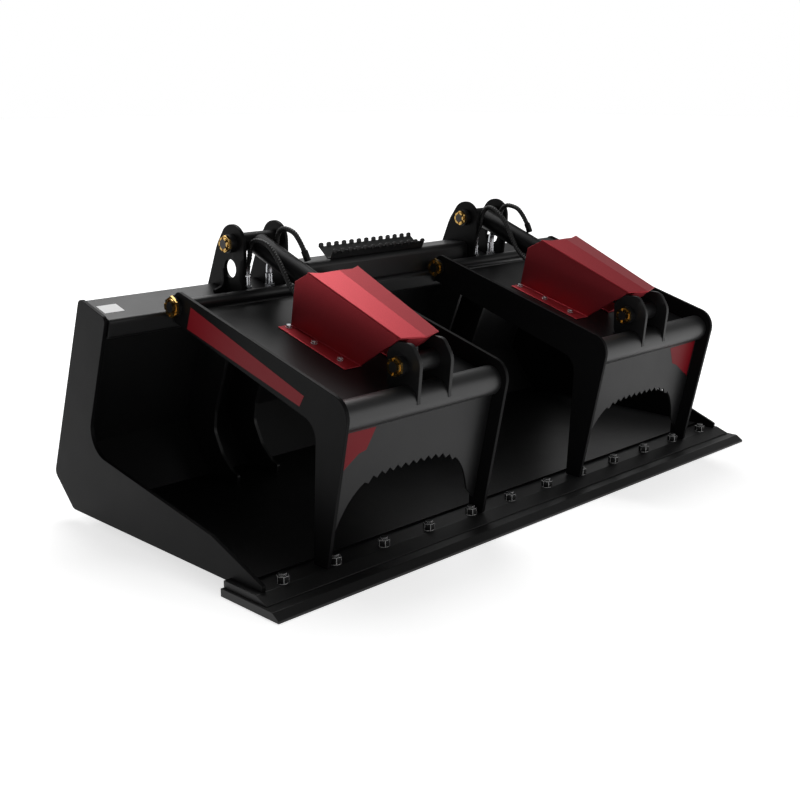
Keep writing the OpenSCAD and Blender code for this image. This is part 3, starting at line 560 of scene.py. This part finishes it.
def finish_rule(tree, geometry, material, leaving):
    """Realize the copies, give them their finish and hand them out."""
    real = put(tree, "GeometryNodeRealizeInstances", {"Geometry": geometry})
    coat = put(tree, "GeometryNodeSetMaterial", {"Geometry": real.outputs[0], "Material": material})
    tree.links.new(coat.outputs[0], leaving.inputs[0])


EDGE_FROM = math.radians(50)


def grow(name, tree, values, body, start=None, bevel_mm=0.0, smooth=35):
    """Run a rule on an object, keep its result as a plain mesh, and let that ride on a body."""
    base = start or bpy.data.meshes.new(name + "_seed")
    seed = bpy.data.objects.new(name + "_seed", base)
    bpy.context.scene.collection.objects.link(seed)
    grower = seed.modifiers.new("rule", "NODES")
    grower.node_group = tree
    for item in tree.interface.items_tree:
        if item.item_type == "SOCKET" and item.in_out == "INPUT" and item.name in values:
            grower[item.identifier] = values[item.name]
    bpy.context.view_layer.update()
    grown = bpy.data.meshes.new_from_object(
        seed.evaluated_get(bpy.context.evaluated_depsgraph_get())
    )
    seed.modifiers.remove(grower)
    bpy.data.objects.remove(seed)
    if bevel_mm:
        work = bmesh.new()
        work.from_mesh(grown)
        sharp = [
            e
            for e in work.edges
            if len(e.link_faces) == 2 and e.calc_face_angle(0) > EDGE_FROM
        ]
        bmesh.ops.bevel(
            work, geom=sharp, offset=bevel_mm * MM, segments=1, affect="EDGES", clamp_overlap=True
        )
        work.to_mesh(grown)
        work.free()
    grown.name = name
    for polygon in grown.polygons:
        polygon.use_smooth = True
    grown.set_sharp_from_angle(angle=math.radians(smooth))
    piece = bpy.data.objects.new(name, grown)
    bpy.context.scene.collection.objects.link(piece)
    if body:
        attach(piece, body)
    print("grew", name, "triangles", sum(len(p.vertices) - 2 for p in grown.polygons))
    return piece


# %% [markdown]
# ## Threaded fasteners
# A hexagon nut or head is a six-sided cylinder, a washer a flat one and a thread a ridge that
# winds up the shank. A spiral curve with a small three-sided profile makes that ridge. One
# fastener is built at the origin and copied to a line of points, so a row costs one tree.

# %% The rule for a row of fasteners
row_tree, row_in, row_out = rule(
    "row of fasteners",
    {
        "Count": ("Int", 6),
        "Start": ("Vector", None),
        "Step": ("Vector", None),
        "Turn": ("Rotation", None),
        "Nut Radius": ("Float", 0.016),
        "Nut Height": ("Float", 0.016),
        "Washer Radius": ("Float", 0.02),
        "Washer Height": ("Float", 0.003),
        "Shank Radius": ("Float", 0.009),
        "Shank Over": ("Float", 0.006),
        "Thread Pitch": ("Float", 0.002),
        "Head Radius": ("Float", 0.017),
        "Head Height": ("Float", 0.009),
        "Head Base": ("Float", -0.02),
        "Finish": ("Material", None),
    },
)
wanted = row_in.outputs


def math_node(tree, operation, a, b):
    """A sum, product or quotient of two values or sockets."""
    return put(tree, "ShaderNodeMath", {0: a, 1: b}, operation=operation).outputs[0]


def upright(tree, radius, height, base, sides):
    """A closed cylinder that stands on the height base."""
    solid = put(
        tree, "GeometryNodeMeshCylinder", {"Vertices": sides, "Radius": radius, "Depth": height}
    )
    middle = math_node(tree, "ADD", base, math_node(tree, "MULTIPLY", height, 0.5))
    lift = put(tree, "ShaderNodeCombineXYZ", {"Z": middle})
    return put(
        tree,
        "GeometryNodeTransform",
        {"Geometry": solid.outputs["Mesh"], "Translation": lift.outputs[0]},
    ).outputs[0]


RIDGE_SHARE = 0.35
ROUND_SIDES, SHANK_SIDES, HEX_SIDES = 40, 24, 6
washer = upright(row_tree, wanted["Washer Radius"], wanted["Washer Height"], 0.0, ROUND_SIDES)
nut = upright(
    row_tree, wanted["Nut Radius"], wanted["Nut Height"], wanted["Washer Height"], HEX_SIDES
)
nut_top = math_node(row_tree, "ADD", wanted["Washer Height"], wanted["Nut Height"])
shank = upright(row_tree, wanted["Shank Radius"], wanted["Shank Over"], nut_top, SHANK_SIDES)
turns = math_node(row_tree, "DIVIDE", wanted["Shank Over"], wanted["Thread Pitch"])
spiral = put(
    row_tree,
    "GeometryNodeCurveSpiral",
    {
        "Resolution": 16,
        "Rotations": turns,
        "Start Radius": wanted["Shank Radius"],
        "End Radius": wanted["Shank Radius"],
        "Height": wanted["Shank Over"],
    },
)
ridge_radius = math_node(row_tree, "MULTIPLY", wanted["Thread Pitch"], RIDGE_SHARE)
ridge = put(
    row_tree,
    "GeometryNodeCurvePrimitiveCircle",
    {"Resolution": 3, "Radius": ridge_radius},
)
thread = put(
    row_tree,
    "GeometryNodeCurveToMesh",
    {"Curve": spiral.outputs[0], "Profile Curve": ridge.outputs[0], "Fill Caps": True},
)
thread_up = put(
    row_tree,
    "GeometryNodeTransform",
    {
        "Geometry": thread.outputs[0],
        "Translation": put(row_tree, "ShaderNodeCombineXYZ", {"Z": nut_top}).outputs[0],
    },
)
head = upright(
    row_tree, wanted["Head Radius"], wanted["Head Height"], wanted["Head Base"], ROUND_SIDES
)
one = put(row_tree, "GeometryNodeJoinGeometry")
for part in (washer, nut, shank, thread_up.outputs[0], head):
    row_tree.links.new(part, one.inputs[0])
line = put(
    row_tree,
    "GeometryNodeMeshLine",
    {"Count": wanted["Count"], "Start Location": wanted["Start"], "Offset": wanted["Step"]},
    mode="OFFSET",
)
copies = put(
    row_tree,
    "GeometryNodeInstanceOnPoints",
    {"Points": line.outputs[0], "Instance": one.outputs[0], "Rotation": wanted["Turn"]},
)
finish_rule(row_tree, copies.outputs[0], wanted["Finish"], row_out)
print("fastener rule nodes:", len(row_tree.nodes))

# %% [markdown]
# ## Edge bolts
# Twelve plow bolts hold the cutting edge. Their heads are sunk under the edge, so from above
# only the nuts, their washers and the thread ends show. They could be copied by hand, but one
# run of the rule keeps them in line. The first and the last bolt are found in the frame's
# own solid.

# %% Edge bolts
EDGE_BOLTS = 12
NUT_SIZE = 25.4 * MM
HEX = 2 / math.sqrt(3)
bolts_low, bolts_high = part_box("edge_bolts")
floor_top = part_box("base_edge")[1].z
HEAD_PLAY = 0.2 * MM
HEAD_SUNK = 1.2 * MM
END_OVER_NUT = 6.5 * MM
head_radius = (bolts_high.y - bolts_low.y) / 2 - HEAD_PLAY
first_bolt = Vector((bolts_low.x + head_radius, (bolts_low.y + bolts_high.y) / 2, floor_top))
bolt_step = Vector(((bolts_high.x - bolts_low.x - 2 * head_radius) / (EDGE_BOLTS - 1), 0, 0))
edge_nuts = grow(
    "edge_nuts",
    row_tree,
    {
        "Count": EDGE_BOLTS,
        "Start": first_bolt,
        "Step": bolt_step,
        "Nut Radius": NUT_SIZE / 2 * HEX,
        "Nut Height": bolts_high.z - floor_top - END_OVER_NUT,
        "Washer Radius": NUT_SIZE / 2,
        "Washer Height": 0.8 * MM,
        "Shank Radius": 8.6 * MM,
        "Shank Over": 5.2 * MM,
        "Thread Pitch": 2.0 * MM,
        "Head Radius": head_radius,
        "Head Height": 8.5 * MM,
        "Head Base": HEAD_SUNK - floor_top,
        # The nuts get the darker, less shiny copy of the coat: painted shade that dims their edge lines.
        "Finish": painted_shade_top_coat,
    },
    "bucket",
    bevel_mm=0.45,
)
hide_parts("edge_bolts")

# %% [markdown]
# ## Guard bolts
# Each guard is held by three bolts in each of its two flanges. The bolts stand square to the
# jaw's sloping top sheet, so the row and each bolt are turned by that slope. The same rule as
# on the cutting edge makes them, with smaller sizes, and each flange is one row.

# %% Guard bolts
SHEET_TURN = math.radians(15.76)
SHEET_ALONG = Vector((0, -math.cos(SHEET_TURN), -math.sin(SHEET_TURN)))
SHEET_OUT = Vector((0, -math.sin(SHEET_TURN), math.cos(SHEET_TURN)))
FLANGE_UNDER_HINGE = 5.0
BOLTS_FROM, BOLTS_TO, BOLTS_IN_ROW = 186, 380, 3
BOLT_ACROSS = 80


def guard_middle(side):
    """Where a guard's middle lies across the part, in mm."""
    guard_low, guard_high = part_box(side + "_guard")
    return (guard_low.x + guard_high.x) / 2 / MM


def on_flange(x_mm, along_mm):
    """A point on the guard's flange, this far along the jaw's top sheet from the hinge."""
    start = Vector((x_mm * MM, HINGE_Y, HINGE_Z))
    return start + SHEET_ALONG * (along_mm * MM) - SHEET_OUT * (FLANGE_UNDER_HINGE * MM)


TOWER_X = {side: guard_middle(side) for side in SIDES}


for side in SIDES:
    for flank, across in (("a", -BOLT_ACROSS), ("b", BOLT_ACROSS)):
        row = grow(
            side + "_guard_screws_" + flank,
            row_tree,
            {
                "Count": BOLTS_IN_ROW,
                "Start": on_flange(TOWER_X[side] + across, BOLTS_FROM),
                "Step": SHEET_ALONG * ((BOLTS_TO - BOLTS_FROM) / (BOLTS_IN_ROW - 1) * MM),
                "Turn": Euler((SHEET_TURN, 0, 0)),
                "Nut Radius": 6.5 * MM * HEX,
                "Nut Height": 5.2 * MM,
                "Washer Radius": 7.9 * MM,
                "Washer Height": 1.2 * MM,
                "Shank Radius": 3.6 * MM,
                "Shank Over": 0.6 * MM,
                "Thread Pitch": 1.5 * MM,
                "Head Radius": 9.5 * MM,
                "Head Height": 9.0 * MM,
                "Head Base": -19.0 * MM,
                "Finish": bright_zinc,
            },
            side + "_jaw",
            bevel_mm=0.5,
        )
        if flank == "a":
            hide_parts(side + "_guard_bolts")

# %% [markdown]
# ## Hoses
# A high pressure hose has a rubber cover with a spiral wrap, and a crimped steel sleeve at
# each end. Its centre line runs through a few points in the side view, from the fittings on
# the beam over the tower to the barrel's ports. One rule smooths the line, cuts out a stretch
# of it and sweeps a lobed outline that twists as it goes; the same rule with other numbers
# makes the sleeves. The cover stays as laid; its low sleeve rides on the bucket and its high
# one on the barrel.

# %% The rule for a hose
hose_tree, hose_in, hose_out = rule(
    "twisted sweep along a line",
    {
        "Radius": ("Float", 0.0066),
        "Lobe Depth": ("Float", 0.0004),
        "Lobes": ("Int", 2),
        "Sides": ("Int", 24),
        "Pitch": ("Float", 0.016),
        "Ring Length": ("Float", 0.0016),
        "From": ("Float", 0.0),
        "To": ("Float", 1.0),
        "Finish": ("Material", None),
    },
)
asked = hose_in.outputs
line = put(hose_tree, "GeometryNodeMeshToCurve", {"Mesh": asked["Geometry"]})
smooth_line = put(
    hose_tree,
    "GeometryNodeCurveSplineType",
    {"Curve": line.outputs[0]},
    spline_type="CATMULL_ROM",
)
fine = put(
    hose_tree,
    "GeometryNodeResampleCurve",
    {"Curve": smooth_line.outputs[0], "Length": asked["Ring Length"]},
    mode="LENGTH",
)
stretch = put(
    hose_tree,
    "GeometryNodeTrimCurve",
    {"Curve": fine.outputs[0], 4: asked["From"], 5: asked["To"]},
    mode="LENGTH",
)
along = put(hose_tree, "GeometryNodeSplineParameter")
turn = math_node(
    hose_tree,
    "MULTIPLY",
    math_node(hose_tree, "DIVIDE", along.outputs["Length"], asked["Pitch"]),
    math.tau,
)
twisted = put(hose_tree, "GeometryNodeSetCurveTilt", {"Curve": stretch.outputs[0], "Tilt": turn})
outline = put(
    hose_tree,
    "GeometryNodeCurvePrimitiveCircle",
    {"Resolution": asked["Sides"], "Radius": asked["Radius"]},
)
round_at = put(hose_tree, "GeometryNodeSplineParameter").outputs["Factor"]
wave = math_node(
    hose_tree,
    "SINE",
    math_node(
        hose_tree, "MULTIPLY", math_node(hose_tree, "MULTIPLY", round_at, asked["Lobes"]), math.tau
    ),
    0.0,
)
swell = math_node(hose_tree, "MULTIPLY", wave, asked["Lobe Depth"])
swell_share = math_node(
    hose_tree, "ADD", math_node(hose_tree, "DIVIDE", swell, asked["Radius"]), 1.0
)
place = put(hose_tree, "GeometryNodeInputPosition").outputs[0]
moved = put(
    hose_tree, "ShaderNodeVectorMath", {0: place, "Scale": swell_share}, operation="SCALE"
)
lobed = put(
    hose_tree,
    "GeometryNodeSetPosition",
    {"Geometry": outline.outputs[0], "Position": moved.outputs[0]},
)
cover = put(
    hose_tree,
    "GeometryNodeCurveToMesh",
    {"Curve": twisted.outputs[0], "Profile Curve": lobed.outputs[0], "Fill Caps": True},
)
finish_rule(hose_tree, cover.outputs[0], asked["Finish"], hose_out)
print("hose rule nodes:", len(hose_tree.nodes))


# %% [markdown]
# ## The hoses' routes
# A hose is stiff: it leaves its fitting straight, rises, and comes over in one wide curve.
# The points below were chosen close enough together that the smoothed line can't
# wander between them. The near hose of each barrel goes to the rear port, and the far one
# runs on beside the barrel to the port under the guard.

# %% The hoses' centre lines
def centre_line(name, tower_x, points):
    """A chain of edges through points given as (x from the cylinder's middle, f, z)."""
    mesh = bpy.data.meshes.new(name + "_line")
    mesh.from_pydata(
        [at(tower_x + x, f, z) for x, f, z in points],
        [(i, i + 1) for i in range(len(points) - 1)],
        [],
    )
    return mesh


NEAR_ROUTE = [
    (37, -40, 608), (37, -37, 630), (37, -22, 656), (37, -8, 682), (37, -2, 704),
    (37, 8, 720), (37, 24, 727), (37, 44, 726), (37, 66, 719), (37, 83, 704),
    (38, 96, 686), (40, 105, 668), (44, 109, 651),
]
FAR_ROUTE = {
    "left": [
        (-37.5, -40, 608), (-37.5, -38, 628), (-37.5, -27, 652), (-37.5, -20, 680),
        (-37.5, -7, 697), (-37, 15, 701), (-37, 40, 697), (-37, 58, 689), (-38, 80, 671),
        (-40, 101, 652), (-44, 122, 630), (-46, 142, 606), (-47, 166, 586),
        (-47, 200, 570), (-46, 235, 561), (-46, 266, 556.4),
    ],
    "right": [
        (-37.5, -40, 608), (-37.5, -36, 634), (-37.5, -21, 668), (-37.5, -12, 700),
        (-37, 2, 720), (-37, 20, 725), (-37, 48, 713), (-38, 78, 688), (-41, 104, 652),
        (-45, 130, 617), (-46, 152, 596), (-47, 176, 582), (-47, 206, 569),
        (-46, 238, 560), (-46, 266, 556.4),
    ],
}


def route_length(points):
    """The length in metres of the line through the points."""
    return sum((Vector(b) - Vector(a)).length for a, b in zip(points, points[1:])) * MM


print("near hoses", round(route_length(NEAR_ROUTE), 3), "m long")
for side, route in FAR_ROUTE.items():
    print("far hose,", side, round(route_length(route), 3), "m long")


# %% Hoses and their crimped sleeves
SLEEVE = 0.027
IN_SLEEVE = 0.012
NO_TWIST = 50.0
for side in SIDES:
    for which, route in (("near", NEAR_ROUTE), ("far", FAR_ROUTE[side])):
        name = side + "_" + which + "_hose"
        length = route_length(route)
        hose = grow(
            name,
            hose_tree,
            {"From": IN_SLEEVE, "To": length - IN_SLEEVE, "Finish": hose_cover},
            None,
            start=centre_line(name, TOWER_X[side], route),
            smooth=60,
        )
        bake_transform(hose)
        if which == "near":
            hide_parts(side + "_hoses")
        for end, begin, body in (
            ("low", 0.0, "bucket"),
            ("high", length - SLEEVE, side + "_barrel"),
        ):
            grow(
                name + "_sleeve_" + end,
                hose_tree,
                {
                    "Radius": 0.0086,
                    "Lobe Depth": 0.00035,
                    "Lobes": 8,
                    "Sides": 64,
                    "Pitch": NO_TWIST,
                    "Ring Length": 0.003,
                    "From": begin,
                    "To": begin + SLEEVE,
                    # The near hoses' upper sleeves get the darker copy of the coat: painted shade.
                    "Finish": painted_shade_top_coat if (which, end) == ("near", "high") else bright_zinc,
                },
                body,
                start=centre_line(name + end, TOWER_X[side], route),
                bevel_mm=0.4,
            )

# %% [markdown]
# ## Films
# The left jaw carries a dark red band along its outer plate, each front sheet a small red
# pennant, and the beam a small white label. They are plain films a fraction of a millimetre
# thick. A film could be a patch of colour in the plate's own material, but as a piece it has
# a real edge. Each corner is cast onto the solid behind it, which finds the exact surface,
# and the film is lifted off that surface by a hair, so the two don't flicker.


# %% Helper for a film
def film(name, node, corners, direction, body, material, lift_mm=0.15, thick_mm=0.12):
    """A thin sheet whose corners are cast along direction onto the solid of a node."""
    solid = nodes[node]
    skin = BVHTree.FromPolygons(
        [solid.matrix_world @ v.co for v in solid.data.vertices],
        [tuple(f.vertices) for f in solid.data.polygons],
    )
    spots = []
    for corner in corners:
        spot, normal, _, _ = skin.ray_cast(corner, Vector(direction))
        if spot is None:
            print("film", name, "misses its solid at", tuple(round(v, 4) for v in corner))
            return
        spots.append((spot, normal))
    n = len(spots)
    lower = [p + d * lift_mm * MM for p, d in spots]
    upper = [p + d * (lift_mm + thick_mm) * MM for p, d in spots]
    sides = [(i, (i + 1) % n, (i + 1) % n + n, i + n) for i in range(n)]
    mesh = bpy.data.meshes.new(name)
    mesh.from_pydata(lower + upper, [], [tuple(range(n))[::-1], tuple(range(n, 2 * n))] + sides)
    work = bmesh.new()
    work.from_mesh(mesh)
    bmesh.ops.recalc_face_normals(work, faces=work.faces)
    work.to_mesh(mesh)
    work.free()
    mesh.materials.append(material)
    piece = bpy.data.objects.new(name, mesh)
    bpy.context.scene.collection.objects.link(piece)
    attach(piece, body)
    print("film", name, "at", tuple(round(v, 3) for v in upper[0]))


# %% Band on the left jaw
BAND = ((60.6, 568.1), (40.7, 512.8), (457.1, 397.3), (473.5, 423.8))
BESIDE_THE_JAW = -760
film(
    "left_band",
    "left_jaw_outer_plate",
    [at(BESIDE_THE_JAW, f, z) for f, z in BAND],
    (1, 0, 0),
    "left_jaw",
    film_red,
)

# %% [markdown]
# ## Pennants
# A front sheet slopes with the jaws' legs, so a pennant's corners are given across the sheet
# from the jaw's middle, and down the leg's line from its top. The sheet's outer face stands
# ahead of that line. Each corner starts well in front of the sheet and is cast back onto it.

# %% Pennants on the front sheets
SHEET_FACE = 36
IN_FRONT = 60
PENNANTS = {
    "left": ((-247, 90), (-135, 91), (-157, 143.6), (-178, 148), (-247, 203)),
    "right": ((117, 93), (148, 145), (174, 155), (243, 199), (247, 203), (247, 90)),
}
for side, sign in SIDES.items():
    film(
        side + "_pennant",
        side + "_front_skin",
        [
            at(
                sign * JAW_CENTRE + x,
                LEG_TOP[0] + down * LEG_WAY[0] + IN_FRONT,
                LEG_TOP[1] + down * LEG_WAY[1] - SHEET_FACE * LEG_WAY[0],
            )
            for x, down in PENNANTS[side]
        ],
        (0, 1, 0),
        side + "_jaw",
        film_red,
    )

# %% [markdown]
# ## The beam's label
# The beam is tilted back with the bucket's sheet, so a distance along its top is a little
# shorter when it is measured level. The label's corners are cast straight down onto it.

# %% Label on the beam
LABEL = ((-886, 41), (-832, 41), (-832, 82), (-886, 82))
BEAM_FRONT, BEAM_LEVEL_SHARE, OVER_THE_BEAM = -22, 0.9588, 640
film(
    "beam_label",
    "top_beam",
    [at(x, BEAM_FRONT - back * BEAM_LEVEL_SHARE, OVER_THE_BEAM) for x, back in LABEL],
    (0, 0, -1),
    "bucket",
    film_white,
)

# %% [markdown]
# ## Floor
# The part stands on a plain white floor that runs into a white room without a line. A curved
# backdrop could do that, but it would have to be turned for each view, so the floor is flat
# and very wide, and glows by itself: a little near the part, where its shadow has to show,
# and fully from a few metres on, where it meets the room.

# %% Floor
FLOOR_HALF = 40.0
FLOOR_GLOW, FLOOR_GLOW_FAR = 0.66, 0.98
GLOW_FROM, GLOW_TO = 0.8, 4.0
floor_mesh = bpy.data.meshes.new("floor")
floor_mesh.from_pydata(
    [(x, y, 0) for x, y in ((-1, -1), (1, -1), (1, 1), (-1, 1))], [], [(0, 1, 2, 3)]
)
floor_mesh.transform(Matrix.Scale(FLOOR_HALF, 4))
floor = bpy.data.objects.new("floor", floor_mesh)
bpy.context.scene.collection.objects.link(floor)
floor_paint, floor_shader, floor_tree = finish("pale floor", (0.8, 0.8, 0.8), 0.7, specular=0.1)
floor_shader.inputs["Emission Color"].default_value = (1, 1, 1, 1)
floor_place = put(floor_tree, "ShaderNodeTexCoord")
floor_reach = put(
    floor_tree, "ShaderNodeVectorMath", {0: floor_place.outputs["Object"]}, operation="LENGTH"
)
floor_glow = put(
    floor_tree,
    "ShaderNodeMapRange",
    {
        "Value": floor_reach.outputs["Value"],
        "From Min": GLOW_FROM,
        "From Max": GLOW_TO,
        "To Min": FLOOR_GLOW,
        "To Max": FLOOR_GLOW_FAR,
    },
    interpolation_type="SMOOTHSTEP",
)
floor_tree.links.new(floor_glow.outputs["Result"], floor_shader.inputs["Emission Strength"])
floor_mesh.materials.append(floor_paint)

# %% [markdown]
# ## Room
# Satin paint shows mainly what it reflects, so the room matters more than the lamps. It is
# bright at eye level and dim overhead, which keeps the top sheets deep black, and a little
# darker on the left, so that the faces that look that way stand off from the front ones.

# %% Room
ROOM_LOW, ROOM_HIGH = 1.0, 0.2
FADE_FROM, FADE_TO = 0.12, 0.5
ROOM_LEFT, ROOM_RIGHT = 0.9, 1.0
LEFT_FROM, LEFT_TO = -0.3, 0.35
world = bpy.data.worlds.new("room")
bpy.context.scene.world = world
world.use_nodes = True
room = world.node_tree
room_light = room.nodes["Background"]
room_light.inputs["Color"].default_value = (1, 1, 1, 1)
direction = put(room, "ShaderNodeTexCoord")
split = put(room, "ShaderNodeSeparateXYZ", {"Vector": direction.outputs["Generated"]})
fade = put(
    room,
    "ShaderNodeMapRange",
    {
        "Value": split.outputs["Z"],
        "From Min": FADE_FROM,
        "From Max": FADE_TO,
        "To Min": ROOM_LOW,
        "To Max": ROOM_HIGH,
    },
    interpolation_type="SMOOTHSTEP",
)
aside = put(
    room,
    "ShaderNodeMapRange",
    {
        "Value": split.outputs["X"],
        "From Min": LEFT_FROM,
        "From Max": LEFT_TO,
        "To Min": ROOM_LEFT,
        "To Max": ROOM_RIGHT,
    },
    interpolation_type="SMOOTHSTEP",
)
brightness = math_node(room, "MULTIPLY", fade.outputs["Result"], aside.outputs["Result"])
room.links.new(brightness, room_light.inputs["Strength"])
bpy.context.scene.view_settings.view_transform = "Standard"
print("room: low", ROOM_LOW, "high", ROOM_HIGH, "left", ROOM_LEFT)

# %% [markdown]
# ## Lamps
# A studio lights a dark machine with large soft boxes, because a small lamp would leave hard
# spots on the paint. The one above and behind draws the long highlights on the folds and on
# the tubes. The one in front is weak and only lifts the front sheets.


# %% Lamps
def soft_box(name, place, aim, width, power):
    """A square area lamp at a place that points at aim."""
    lamp = bpy.data.lights.new(name, "AREA")
    lamp.size = width
    lamp.energy = power
    holder = bpy.data.objects.new(name, lamp)
    bpy.context.scene.collection.objects.link(holder)
    holder.location = place
    holder.rotation_euler = (Vector(aim) - Vector(place)).to_track_quat("-Z", "Y").to_euler()
    print(name, "of", width, "m and", power, "W")


soft_box("top box", place=(0.6, 1.6, 3.4), aim=(0, 0, 0.3), width=2.6, power=90)
soft_box("front box", place=(1.8, -3.6, 1.6), aim=(0.2, 0, 0.3), width=2.0, power=8)
